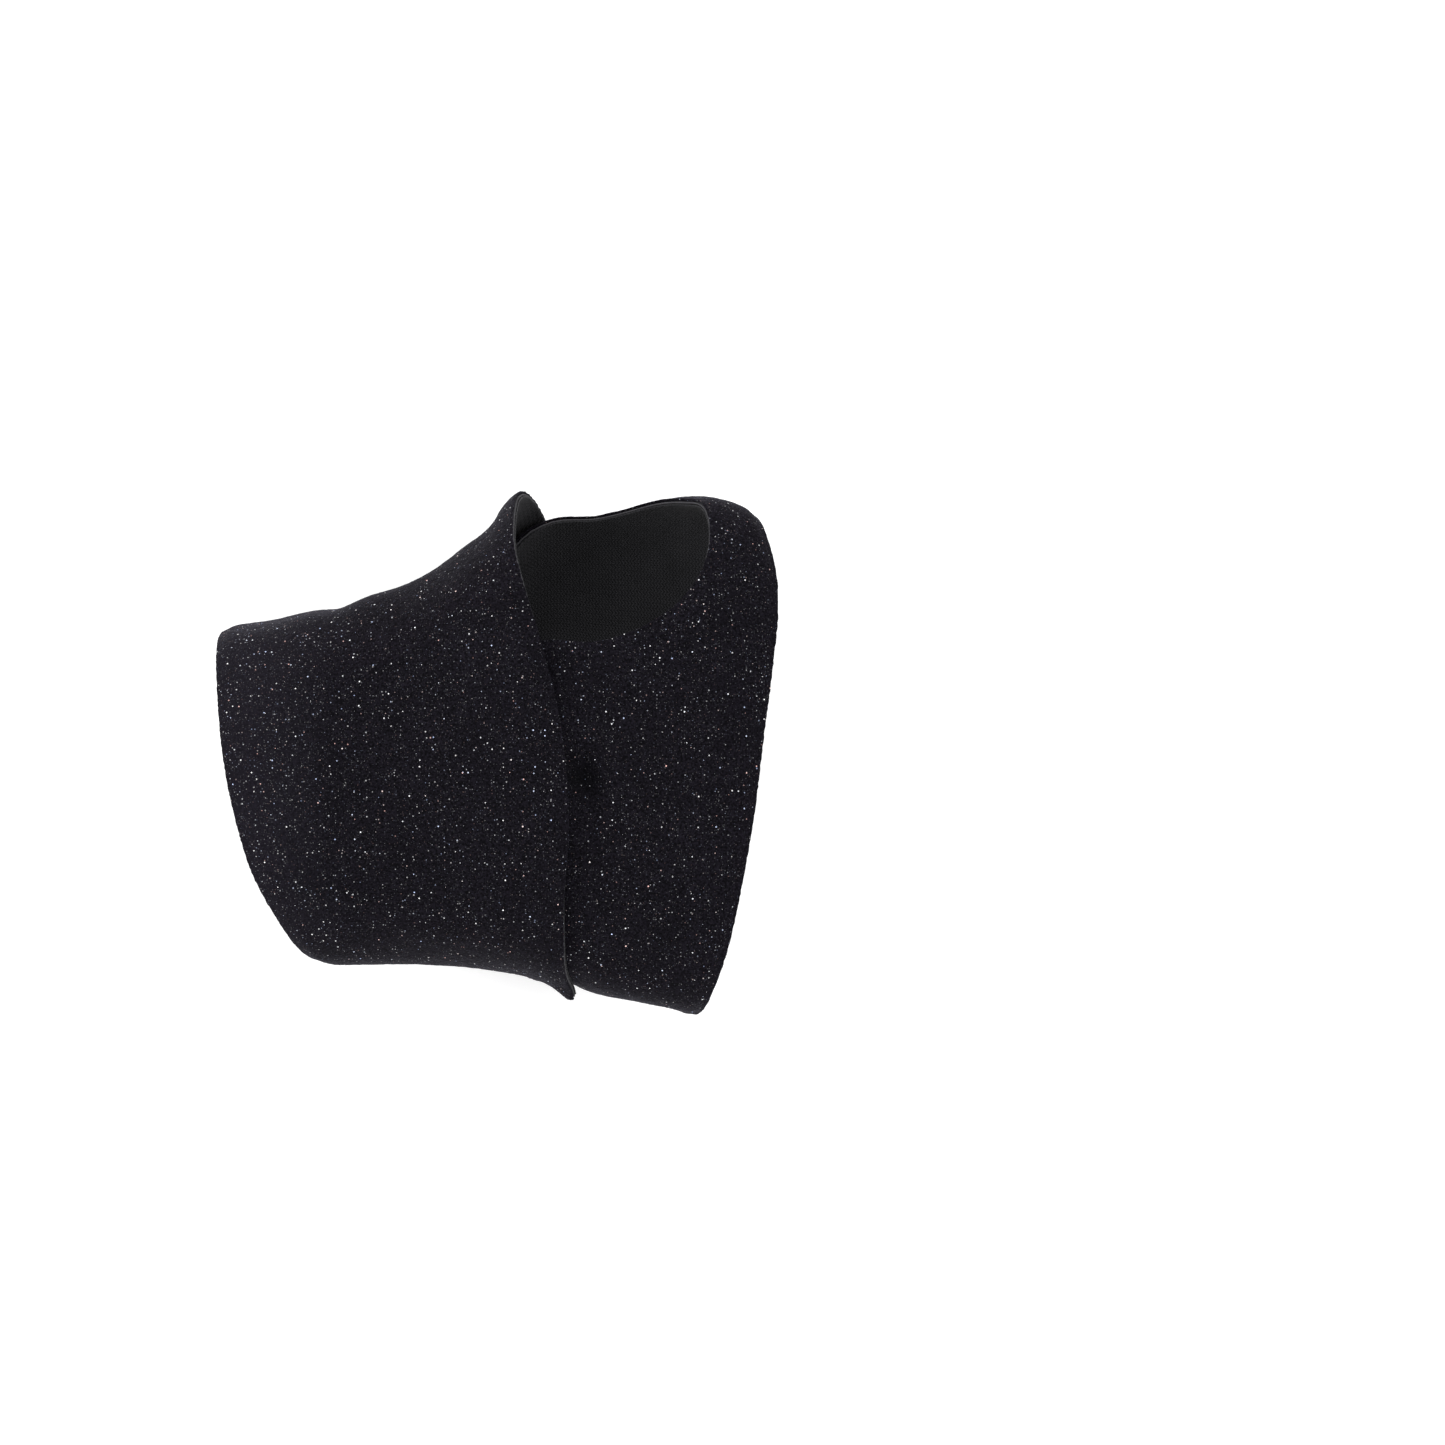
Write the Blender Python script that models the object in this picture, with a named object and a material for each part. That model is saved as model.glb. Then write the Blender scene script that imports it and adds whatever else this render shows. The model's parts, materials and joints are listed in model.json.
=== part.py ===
"""Wrap-around wrist support brace with a thumb hole.

One laminated strip (napped loop fabric, foam, jersey) is wound as a spiral on the shape of a left
hand: from the inner end on the back of the hand, over the thumb web, across the palm, round the
little-finger side, across the back and over the palm side of the wrist as a free flap. A hook tab
under the flap's end grips the loop fabric. The brace lies on its back, palm side up: +X runs
towards the fingers, +Y towards the thumb and +Z out of the palm.

A place on the strip is (turn, x): turn counts the way round the hand, 0 at the thumb side, 0.25 on
the palm, 0.5 at the little-finger side, 0.75 on the back, and 1 or more on the second time round.
Lengths in the driving dimensions are millimetres.
"""

import bmesh
import bpy
import numpy as np
from mathutils import Vector
from mathutils.geometry import delaunay_2d_cdt

MM = 0.001
OBJECT_NAME = "wrist_support_brace"

# The laminate, from the skin outwards.
LINING = 0.4
FOAM = 1.2
PLUSH = 0.6
BOND = 0.1
LAMINATE = LINING + FOAM + PLUSH + 2 * BOND

# The hook tab under the flap's end.
TAPE = 0.4
HOOKS = 0.35
SEAM = 0.15
THREAD = 0.25
THREAD_STEP = 2.0
TAB_CLEARANCE = 0.3
TAB_LENGTH = 38.0
TAB_WIDTH = 20.0
TAB_CORNER = 4.0
SELVEDGE = 3.0
TAB_FROM_END = 4.0
TAB_MIDDLE_X = -11.0

# How far the second turn stands off the hand, and how far the flap's end does, over its tab.
LAP_CLEARANCE = 0.5
SECOND_TURN = LAMINATE + LAP_CLEARANCE
FLAP_END_LIFT = LAMINATE + SEAM + TAPE + SEAM + HOOKS + TAB_CLEARANCE
LIFT_STARTS, LIFT_ENDS = 0.54, 0.67
END_LIFT_STARTS, END_LIFT_ENDS = 1.26, 1.36

# The hand inside the brace, as (x, value) along it.
RADIAL_SIDE = [(-64, 18.2), (-52, 20.1), (-44, 21.4), (-36, 23.3), (-31, 23.7), (-24, 26.5),
               (-18, 28.2), (-10.5, 31.9), (-4, 36.7), (2.5, 41.8), (6, 46), (10, 48.7),
               (20, 49.8), (35, 49.8), (45, 48.2), (52, 45.4), (64, 39)]
ULNAR_SIDE = [(-64, -35), (-34, -36.8), (-14, -36.3), (0, -37.8), (9, -39.8),
              (18, -45.2), (28, -47.8), (42, -50.4), (64, -54)]
HAND_DEPTH = [(-64, 37), (-20, 40), (10, 43.5), (35, 40), (64, 33)]
PALM_POWER = 2.5
BACK_POWER = 2.6
BACK_PRESS = 1.05
BACK_OF_HAND_Z = SECOND_TURN + LAMINATE

# The strip's two long edges, as (turn, x).
PROXIMAL_EDGE = [(-0.25, -20), (0.0, -25), (0.25, -25), (0.5, -27), (0.75, -42), (0.9, -50.5),
                 (0.98, -53.8), (1.03, -55.1), (1.08, -55.5), (1.14, -55.2), (1.22, -53.8),
                 (1.29, -51.3), (1.34, -48.5), (1.38, -45), (1.42, -41), (1.46, -36.8),
                 (1.5, -32)]
DISTAL_EDGE = [(-0.25, 38), (-0.1, 44), (0.0, 50.2), (0.03, 52.8), (0.06, 54.8), (0.1, 55.6),
               (0.15, 54.7), (0.2, 53.3), (0.3, 50.4), (0.4, 45.9), (0.47, 41.4), (0.5, 39.8),
               (0.65, 33), (0.8, 21), (0.93, 10.5), (1.0, 7.6), (1.04, 6.1), (1.08, 5.6),
               (1.12, 6.6), (1.16, 8.5), (1.25, 12.8), (1.32, 14.2), (1.4, 14), (1.47, 16),
               (1.5, 18.2)]
INNER_END = -0.2
INNER_END_CORNER = 0.04
INNER_END_SQUARENESS = 5
FREE_END = 1.497
FREE_END_CORNER = 0.014
FREE_END_SQUARENESS = 12

# The thumb hole, an ellipse on the strip.
HOLE_X = 11.0
HOLE_TURN = 0.056
HOLE_HALF_LENGTH = 31.2
HOLE_HALF_TURN = 0.111

# The flap's three fold lines over the palm, each from (x, y) at its wrist end to (x, y) at its
# palm end, and the slit that parts the stiff stretches there.
FOLD_LINES = [((-56, 10), (7, 26)), ((-54, -4), (13, 1)), ((-50, -19), (13.6, -22))]
FOLD_GAP = 0.5

# Fineness of the solids.
GIRTH = 240.0
CELL_ROUND = 4.6
CELL_ROUND_END = 3.2
CELL_ACROSS = 5.2
SECTION_STEPS = 720
TABLE_STEP = 1.0
TABLE_END = 64.0


def smooth_curve(points, at):
    """A cubic through the points, read at the values in at."""
    xs, ys = np.array(points, float).T
    at = np.asarray(at, float)
    slopes = np.gradient(ys, xs)
    i = np.clip(np.searchsorted(xs, at) - 1, 0, len(xs) - 2)
    width = xs[i + 1] - xs[i]
    t = np.clip((at - xs[i]) / width, 0, 1)
    rise = ys[i + 1] - ys[i]
    start = slopes[i] * width
    finish = slopes[i + 1] * width
    return ys[i] + t * (start + t * (3 * rise - 2 * start - finish + t * (start + finish - 2 * rise)))


def smooth_step(start, end, at):
    t = np.clip((np.asarray(at, float) - start) / (end - start), 0, 1)
    return t * t * (3 - 2 * t)


def hand_section(x):
    """The hand's outline at x, as rows (y, z) evenly spaced from the thumb side over the palm."""
    radial, ulnar = smooth_curve(RADIAL_SIDE, x), smooth_curve(ULNAR_SIDE, x)
    depth = smooth_curve(HAND_DEPTH, x)
    half_width, half_depth = (radial - ulnar) / 2, depth / 2
    angle = np.linspace(0, 2 * np.pi, SECTION_STEPS + 1)
    c, s = np.cos(angle), np.sin(angle)
    power = 2 / np.where(s >= 0, PALM_POWER, BACK_POWER)
    across = np.sign(c) * np.abs(c) ** power
    up = np.abs(s) ** power
    up = np.where(s >= 0, up, -np.minimum(up * BACK_PRESS, 1))
    y = (radial + ulnar) / 2 + half_width * across
    z = BACK_OF_HAND_Z + half_depth + half_depth * up
    run = np.concatenate([[0], np.cumsum(np.hypot(np.diff(y), np.diff(z)))])
    even = np.linspace(0, run[-1], SECTION_STEPS + 1)[:-1]
    return np.stack([np.interp(even, run, y), np.interp(even, run, z)], axis=-1)


TABLE_X = np.arange(-TABLE_END, TABLE_END + TABLE_STEP, TABLE_STEP)
HAND = np.array([hand_section(x) for x in TABLE_X])
GIRTHS = np.linalg.norm(HAND - np.roll(HAND, 1, axis=1), axis=2).sum(axis=1)


def on_hand(turn, x):
    """The point of the hand at each place, as rows (x, y, z)."""
    turn, x = np.broadcast_arrays(np.asarray(turn, float), np.asarray(x, float))
    row = np.clip((x - TABLE_X[0]) / TABLE_STEP, 0, len(TABLE_X) - 1.001)
    column = (turn % 1.0) * SECTION_STEPS
    i, j = row.astype(int), column.astype(int) % SECTION_STEPS
    u, v = (row - i)[..., None], (column - np.floor(column))[..., None]
    k = (j + 1) % SECTION_STEPS
    yz = (HAND[i, j] * (1 - u) + HAND[i + 1, j] * u) * (1 - v)
    yz = yz + (HAND[i, k] * (1 - u) + HAND[i + 1, k] * u) * v
    return np.concatenate([x[..., None], yz], axis=-1)


def off_hand(turn, x, height):
    """The point a height above the hand's surface at each place."""
    near = 1.5 / GIRTH
    round_way = on_hand(turn + near, x) - on_hand(turn - near, x)
    along = on_hand(turn, x + 1.5) - on_hand(turn, x - 1.5)
    normal = np.cross(round_way, along)
    normal /= np.linalg.norm(normal, axis=-1, keepdims=True)
    return on_hand(turn, x) + normal * np.asarray(height, float)[..., None]


def lift(turn):
    """How far the strip's inner face stands off the hand."""
    second = SECOND_TURN * smooth_step(LIFT_STARTS, LIFT_ENDS, turn)
    return second + (FLAP_END_LIFT - SECOND_TURN) * smooth_step(END_LIFT_STARTS, END_LIFT_ENDS, turn)


def edge_x(turn, across):
    """x on the strip at a turn, from 0 at the proximal edge to 1 at the distal one."""
    low, high = smooth_curve(PROXIMAL_EDGE, turn), smooth_curve(DISTAL_EDGE, turn)
    return low + (high - low) * across


def fold_turn(line, x):
    """The turn at which a fold line crosses x on the flap's outer face."""
    (x0, y0), (x1, y1) = FOLD_LINES[line]
    y = y0 + (y1 - y0) * (x - x0) / (x1 - x0)
    turns = np.linspace(1.02, 1.48, 93)
    face = off_hand(turns, np.full_like(turns, x), lift(turns) + LAMINATE)[:, 1]
    return np.interp(-y, -face, turns)


def fold_across(line, across):
    """The turn of a fold line at a share of the strip's width."""
    turn = 1.25
    for _ in range(12):
        turn = fold_turn(line, edge_x(turn, across))
    return turn


def inner_end(across):
    return INNER_END + INNER_END_CORNER * abs(2 * across - 1) ** INNER_END_SQUARENESS


def free_end(across):
    return FREE_END - FREE_END_CORNER * abs(2 * across - 1) ** FREE_END_SQUARENESS


def fold(line, side):
    """One lip of a fold's slit, -1 before it and 1 after it."""
    return lambda across: fold_across(line, across) + side * FOLD_GAP / 2 / GIRTH


def patch(start, end, cell_round, hole=False):
    """The flat triangles of a stretch of strip: places as rows (turn, x), and corner triples."""
    rows = round((edge_x(1.25, 1) - edge_x(1.25, 0)) / CELL_ACROSS) + 1
    shares = np.linspace(0, 1, rows)
    starts = np.array([start(v) for v in shares])
    ends = np.array([end(v) for v in shares])
    columns = round((ends - starts).max() * GIRTH / cell_round) + 1
    t = np.linspace(0, 1, columns)
    turn = starts + np.outer(t, ends - starts)
    x = edge_x(turn, shares)
    outline = [(i, 0) for i in range(columns)]
    outline += [(columns - 1, j) for j in range(1, rows)]
    outline += [(i, rows - 1) for i in range(columns - 2, -1, -1)]
    outline += [(0, j) for j in range(rows - 2, 0, -1)]
    rim = [(turn[i, j] * GIRTH, x[i, j]) for i, j in outline]
    inside = [(turn[i, j] * GIRTH, x[i, j])
              for i in range(1, columns - 1) for j in range(1, rows - 1)]
    loops = [rim]
    if hole:
        loops.append([hole_point(a) for a in np.linspace(0, 2 * np.pi, 41)[:-1]])
        inside = [p for p in inside if hole_distance(p) > 1.14]
    return triangulate(loops, inside)


def hole_point(angle):
    return ((HOLE_TURN + HOLE_HALF_TURN * np.cos(angle)) * GIRTH,
            HOLE_X + HOLE_HALF_LENGTH * np.sin(angle))


def hole_distance(point):
    """1 on the thumb hole's rim, and less inside it."""
    return np.hypot((point[0] / GIRTH - HOLE_TURN) / HOLE_HALF_TURN,
                    (point[1] - HOLE_X) / HOLE_HALF_LENGTH)


def triangulate(loops, inside):
    points, edges = [], []
    for loop in loops:
        first = len(points)
        points += loop
        edges += [(first + i, first + (i + 1) % len(loop)) for i in range(len(loop))]
    points += inside
    flat, _, faces, *_ = delaunay_2d_cdt([Vector(p) for p in points], edges, [], 1, 1e-4)
    places = np.array([(p.x / GIRTH, p.y) for p in flat])
    triangles = np.array([f for f in faces])
    if len(loops) > 1:
        middles = places[triangles].mean(axis=1) * (GIRTH, 1)
        triangles = triangles[[hole_distance(m) > 1 for m in middles]]
    return places, triangles


def closed_sheet(name, places, triangles, low, high):
    """A closed sheet over the places, between the heights low and high above the hand."""
    turn, x = places.T
    upper, lower = off_hand(turn, x, high(turn)), off_hand(turn, x, low(turn))
    mesh = bmesh.new()
    top = [mesh.verts.new(p * MM) for p in upper]
    bottom = [mesh.verts.new(p * MM) for p in lower]
    for a, b, c in triangles:
        mesh.faces.new((top[a], top[b], top[c]))
        mesh.faces.new((bottom[c], bottom[b], bottom[a]))
    sides = {(a, b) for f in triangles for a, b in zip(f, np.roll(f, -1))}
    for a, b in sorted(sides):
        if (b, a) not in sides:
            mesh.faces.new((top[b], top[a], bottom[a], bottom[b]))
    bmesh.ops.recalc_face_normals(mesh, faces=mesh.faces)
    if mesh.calc_volume(signed=True) < 0:
        bmesh.ops.reverse_faces(mesh, faces=mesh.faces)
    return finish(name, mesh)


def finish(name, mesh):
    data = bpy.data.meshes.new(name)
    mesh.to_mesh(data)
    mesh.free()
    data.shade_smooth()
    data.set_sharp_from_angle(angle=np.radians(50))
    return bpy.data.objects.new(name, data)


def layer(bottom, thickness):
    """The two heights of a layer that starts a distance above the strip's inner face."""
    return (lambda turn: lift(turn) + bottom), (lambda turn: lift(turn) + bottom + thickness)


LAYERS = {
    "lining": layer(0, LINING),
    "foam": layer(LINING + BOND, FOAM),
    "plush": layer(LINING + FOAM + 2 * BOND, PLUSH),
}


def strip_stretches():
    """Each rigid stretch of the strip: its starting and ending lines, its fineness, its hole."""
    return {
        "sleeve": (inner_end, fold(0, -1), CELL_ROUND, True),
        "flap_base": (fold(0, 1), fold(1, -1), CELL_ROUND, False),
        "flap_middle": (fold(1, 1), fold(2, -1), CELL_ROUND, False),
        "flap_end": (fold(2, 1), free_end, CELL_ROUND_END, False),
    }


def laminated_strip():
    made = []
    for stretch, lines in strip_stretches().items():
        places, triangles = patch(*lines)
        for name, (low, high) in LAYERS.items():
            made.append(closed_sheet(f"{stretch}_{name}", places, triangles, low, high))
    return made


def tab_outline(inset, corner_steps=5):
    """The hook tab's outline drawn in from its edge, as (distance from the free end, x)."""
    centre = np.array([TAB_FROM_END + TAB_WIDTH / 2, TAB_MIDDLE_X])
    radius = max(TAB_CORNER - inset, 1.0)
    half = np.array([TAB_WIDTH / 2, TAB_LENGTH / 2]) - inset - radius
    points = []
    for quarter, side in enumerate([(1, 1), (-1, 1), (-1, -1), (1, -1)]):
        for a in np.linspace(0, np.pi / 2, corner_steps) + quarter * np.pi / 2:
            points.append(tuple(centre + half * side + radius * np.array([np.cos(a), np.sin(a)])))
    return points


def tab_place(distance, x):
    """The turn of a place on the tab, at a distance round the hand from the free end."""
    girth = np.interp(x, TABLE_X, GIRTHS)
    return FREE_END - distance / girth


def divide(outline, step):
    """The closed outline with its long sides divided into steps."""
    rim = []
    for p, q in zip(outline, outline[1:] + outline[:1]):
        parts = max(1, round(np.hypot(q[0] - p[0], q[1] - p[1]) / step))
        rim += [tuple(np.array(p) + (np.array(q) - p) * k / parts) for k in range(parts)]
    return rim


def fill_outline(outline):
    """Triangles of a rounded rectangle, with its long sides and its inside divided."""
    rim = divide(outline, CELL_ROUND_END)
    low, high = np.min(rim, axis=0), np.max(rim, axis=0)
    count = np.round((high - low) / (CELL_ROUND_END, CELL_ACROSS)).astype(int)
    inside = [tuple(low + (high - low) * (i / count[0], j / count[1]))
              for i in range(1, count[0]) for j in range(1, count[1])]
    places, triangles = triangulate([rim], inside)
    distance, x = places[:, 0] * GIRTH, places[:, 1]
    return np.stack([tab_place(distance, x), x], axis=-1), triangles


def hook_tab():
    """The hook tape sewn under the flap's end, and the field of hooks inside its selvedge."""
    tape_top = FLAP_END_LIFT - SEAM
    tape_low = tape_top - TAPE
    hooks_top = tape_low - SEAM

    def level(height):
        return lambda turn: np.full_like(turn, height)

    tape = closed_sheet("hook_tape", *fill_outline(tab_outline(0)), level(tape_low), level(tape_top))
    hooks = closed_sheet("hook_field", *fill_outline(tab_outline(SELVEDGE)),
                         level(hooks_top - HOOKS), level(hooks_top))
    return [tape, hooks]


def tab_stitching():
    """The seam round the selvedge, a closed ring of thread lying on the tape."""
    path = divide(tab_outline(SELVEDGE / 2), THREAD_STEP)
    distance, x = np.array(path).T
    height = FLAP_END_LIFT - 2 * SEAM - TAPE - THREAD / 2
    points = off_hand(tab_place(distance, x), x, np.full(len(path), height)) * MM
    data = bpy.data.curves.new("tab_stitching", "CURVE")
    data.dimensions = "3D"
    data.bevel_depth = THREAD / 2 * MM
    data.bevel_resolution = 2
    spline = data.splines.new("POLY")
    spline.points.add(len(points) - 1)
    for point, place in zip(spline.points, points):
        point.co = (*place, 1)
    spline.use_cyclic_u = True
    return bpy.data.objects.new("tab_stitching", data)


MATERIALS = {
    "plush": ((0.010, 0.010, 0.014), 0.95),
    "foam": ((0.030, 0.030, 0.033), 0.90),
    "lining": ((0.016, 0.016, 0.019), 0.85),
    "hook_tape": ((0.012, 0.012, 0.013), 0.60),
    "hook_field": ((0.015, 0.015, 0.016), 0.45),
    "thread": ((0.020, 0.020, 0.022), 0.55),
}


def make_materials():
    made = {}
    for name, (colour, roughness) in MATERIALS.items():
        material = bpy.data.materials.new(name)
        material.use_nodes = True
        shader = material.node_tree.nodes["Principled BSDF"]
        shader.inputs["Base Color"].default_value = (*colour, 1)
        shader.inputs["Roughness"].default_value = roughness
        shader.inputs["Metallic"].default_value = 0
        made[name] = material
    return made


def material_of(name):
    if name in MATERIALS:
        return name
    return "thread" if name == "tab_stitching" else name.rsplit("_", 1)[1]


def clear_scene():
    for obj in list(bpy.data.objects):
        bpy.data.objects.remove(obj, do_unlink=True)


def place_over_origin(parts):
    """Moves the parts so that the strip's box is centred on the origin and stands on Z = 0."""
    points = np.array([v.co for part in parts if part.type == "MESH" for v in part.data.vertices])
    centre = (points.min(axis=0) + points.max(axis=0)) / 2
    for part in parts:
        part.location = (-centre[0], -centre[1], -points[:, 2].min())


def main():
    clear_scene()
    collection = bpy.data.collections.new(OBJECT_NAME)
    bpy.context.scene.collection.children.link(collection)
    parts = laminated_strip() + hook_tab() + [tab_stitching()]
    place_over_origin(parts)
    materials = make_materials()
    for part in parts:
        part.data.materials.append(materials[material_of(part.name)])
        collection.objects.link(part)


main()
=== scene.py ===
"""The looks of the wrap-around wrist support brace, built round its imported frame.

The brace is one laminated strip wound as a spiral on a left hand's shape. A place on the strip is
(turn, x): turn counts the way round the hand, 0 at the thumb side, 0.25 on the palm, 0.5 at the
little-finger side and 0.75 on the back, and it is 1 or more on the second time round. Lengths in
the named dimensions are millimetres.
"""

import json
import math

import bmesh
import bpy
import numpy as np
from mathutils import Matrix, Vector
from mathutils.geometry import delaunay_2d_cdt


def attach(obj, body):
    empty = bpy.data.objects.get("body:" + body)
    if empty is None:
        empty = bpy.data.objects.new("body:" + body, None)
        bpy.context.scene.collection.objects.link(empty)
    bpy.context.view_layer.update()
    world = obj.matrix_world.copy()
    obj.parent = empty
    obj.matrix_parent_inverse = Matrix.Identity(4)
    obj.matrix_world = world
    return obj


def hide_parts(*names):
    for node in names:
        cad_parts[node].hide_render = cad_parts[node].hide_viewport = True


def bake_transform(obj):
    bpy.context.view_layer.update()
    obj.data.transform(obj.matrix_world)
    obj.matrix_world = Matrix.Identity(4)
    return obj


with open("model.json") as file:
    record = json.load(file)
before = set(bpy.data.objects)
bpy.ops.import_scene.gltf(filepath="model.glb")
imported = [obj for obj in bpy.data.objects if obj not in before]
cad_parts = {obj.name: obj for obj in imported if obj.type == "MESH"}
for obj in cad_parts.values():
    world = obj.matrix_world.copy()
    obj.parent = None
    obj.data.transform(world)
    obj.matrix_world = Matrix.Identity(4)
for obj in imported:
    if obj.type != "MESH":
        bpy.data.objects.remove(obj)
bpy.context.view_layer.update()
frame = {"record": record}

MM = 0.001
SEED = 20

# Where the hand's own axes lie in the frame.
FRAME_SHIFT = np.array([-0.070, 0.185, 0.0])

# The laminate, from the skin outwards, and how its second turn and its end stand off the hand.
LINING = 0.4
FOAM = 1.2
PLUSH = 0.6
BOND = 0.1
LAMINATE = LINING + FOAM + PLUSH + 2 * BOND
TAPE = 0.4
HOOKS = 0.35
SEAM = 0.15
TAB_CLEARANCE = 0.3
LAP_CLEARANCE = 0.5
SECOND_TURN = LAMINATE + LAP_CLEARANCE
FLAP_END_LIFT = LAMINATE + SEAM + TAPE + SEAM + HOOKS + TAB_CLEARANCE
LIFT_STARTS, LIFT_ENDS = 0.54, 0.67
END_LIFT_STARTS, END_LIFT_ENDS = 1.26, 1.36

# The hand inside the brace, as (x, value) along it.
RADIAL_SIDE = [(-64, 18.2), (-52, 20.1), (-44, 21.4), (-36, 23.3), (-31, 23.7), (-24, 26.5),
               (-18, 28.2), (-10.5, 31.9), (-4, 36.7), (2.5, 41.8), (6, 46), (10, 48.7),
               (20, 49.8), (35, 49.8), (45, 48.2), (52, 45.4), (64, 39)]
ULNAR_SIDE = [(-64, -35), (-34, -36.8), (-14, -36.3), (0, -37.8), (9, -39.8),
              (18, -45.2), (28, -47.8), (42, -50.4), (64, -54)]
HAND_DEPTH = [(-64, 37), (-20, 40), (10, 43.5), (35, 40), (64, 33)]
PALM_POWER = 2.5
BACK_POWER = 2.6
BACK_PRESS = 1.05
BACK_OF_HAND_Z = SECOND_TURN + LAMINATE

# The strip's two long edges, as (turn, x), and its ends.
PROXIMAL_EDGE = [(-0.25, -20), (0.0, -25), (0.25, -25), (0.5, -27), (0.75, -42), (0.9, -50.5),
                 (0.98, -53.8), (1.03, -55.1), (1.08, -55.5), (1.14, -55.2), (1.22, -53.8),
                 (1.29, -51.3), (1.34, -48.5), (1.38, -45), (1.42, -41), (1.46, -36.8),
                 (1.5, -32)]
DISTAL_EDGE = [(-0.25, 38), (-0.1, 44), (0.0, 50.2), (0.03, 52.8), (0.06, 54.8), (0.1, 55.6),
               (0.15, 54.7), (0.2, 53.3), (0.3, 50.5), (0.4, 46.3), (0.47, 41.8), (0.5, 40.0),
               (0.65, 33), (0.8, 21), (0.93, 10.5), (1.0, 7.6), (1.04, 6.1), (1.08, 5.6),
               (1.12, 6.6), (1.16, 8.5), (1.25, 12.8), (1.32, 14.2), (1.4, 14), (1.47, 16.3),
               (1.5, 19.0)]
INNER_END = -0.2
INNER_END_CORNER = 0.04
INNER_END_SQUARENESS = 5
FREE_END = 1.497
FREE_END_CORNER = 0.014
FREE_END_SQUARENESS = 12

# The thumb hole, an ellipse on the strip.
HOLE_X = 11.0
HOLE_TURN = 0.056
HOLE_HALF_LENGTH = 31.2
HOLE_HALF_TURN = 0.111

# The flap's three fold lines over the palm.
FOLD_LINES = [((-56, 10), (7, 26)), ((-54, -4), (13, 1)), ((-50, -19), (13.6, -22))]
FOLDS = ["flap_base_fold", "flap_middle_fold", "flap_end_fold"]
FLAP_TURNS = np.linspace(1.02, 1.48, 93)
BACK_CUT = 0.86

# The unevenness of the worn cloth, in mm: two soft waves, the crest and the groove over the
# wrist, and how far the flap's far corner dips.
LONG_WAVE, LONG_WAVE_LENGTH = 0.14, 9.0
SHORT_WAVE, SHORT_WAVE_LENGTH = 0.1, 5.3
WRIST_CREST = 1.1
WRIST_GROOVE, WRIST_GROOVE_X, WRIST_GROOVE_REACH = 0.35, -30.5, 2.2
CORNER_DIP = 1.1

# Its humps and hollows: height, turn, x, and the reach round the hand and along it.
DIMPLE_TURN = 0.281
DIMPLE_X = 16.8
HUMPS = [
    (-2.3, DIMPLE_TURN, DIMPLE_X, 0.022, 3.6),    # the hollow beside the flap's edge
    (0.6, DIMPLE_TURN, 24, 0.03, 4),              # the palm panel beyond the hollow
    (0.7, 1.0 + DIMPLE_TURN, 13.5, 0.03, 4),      # the flap's edge over the hollow
    (1.7, 1.49, 18, 0.012, 3.5),                  # the curl at the flap's corner
    (1.2, 0.5, 40.5, 0.016, 3),                   # the palm panel's corner
    (1.5, 1.0, 8, 0.05, 3),                       # the peak at the thumb
]

# The hook tab under the flap's free end.
TAB_LENGTH = 38.0
TAB_WIDTH = 20.0
TAB_CORNER = 4.0
SELVEDGE = 3.0
TAB_FROM_END = 4.0
TAB_MIDDLE_X = -11.0
TAPE_CELL = 0.7
TAPE_MARGIN = 0.8
TAPE_RINGS = (0.0, 0.06, 0.15, 0.4)
RIB_HEIGHT = 0.05
RIB_SPACING = 1.4
HOOK_ROWS = 1.15
HOOK_SPACING = 1.35
HOOK_REACH = 0.55
HOOK_BEND = np.array([(0.0, 0.0), (0.1, 0.22), (0.3, 0.42), (0.62, 0.5), (0.9, 0.44), (1.0, 0.3)])
HOOK_RADII = [0.15, 0.12, 0.1, 0.09, 0.08, 0.05]
THREAD = 0.25
STITCH_STEP = 2.0
STITCH_TAPER = np.array([0.55, 0.9, 1, 1, 1, 0.9, 0.55])

# Fineness and finish of the cloth.
GIRTH = 240.0
CLOTH_GIRTH = 200.0
# The painted sheen on the nap towards the wrist: none at the first x, full at the second.
PAINTED_SHEEN_FROM_TO = (-26.0, -50.0)
SECTION_STEPS = 720
TABLE_STEP = 1.0
TABLE_END = 64.0
FINE_CELL = 0.8
COARSE_CELL = 2.0
EDGE_RINGS = [0.0, 0.05, 0.14, 0.3, 0.7]
EDGE_ROUNDING = 0.32
EDGE_RIM = 0.35
PINCH = 0.35
PINCH_REACH = 3.0
NAP = 0.05
FRAY = 0.14


def smooth_curve(points, at):
    """A cubic through the points, read at the values in at."""
    xs, ys = np.array(points, float).T
    at = np.asarray(at, float)
    slopes = np.gradient(ys, xs)
    i = np.clip(np.searchsorted(xs, at) - 1, 0, len(xs) - 2)
    width = xs[i + 1] - xs[i]
    t = np.clip((at - xs[i]) / width, 0, 1)
    rise = ys[i + 1] - ys[i]
    start = slopes[i] * width
    finish = slopes[i + 1] * width
    curve = 3 * rise - 2 * start - finish + t * (start + finish - 2 * rise)
    return ys[i] + t * (start + t * curve)


def smooth_step(start, end, at):
    t = np.clip((np.asarray(at, float) - start) / (end - start), 0, 1)
    return t * t * (3 - 2 * t)


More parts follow.
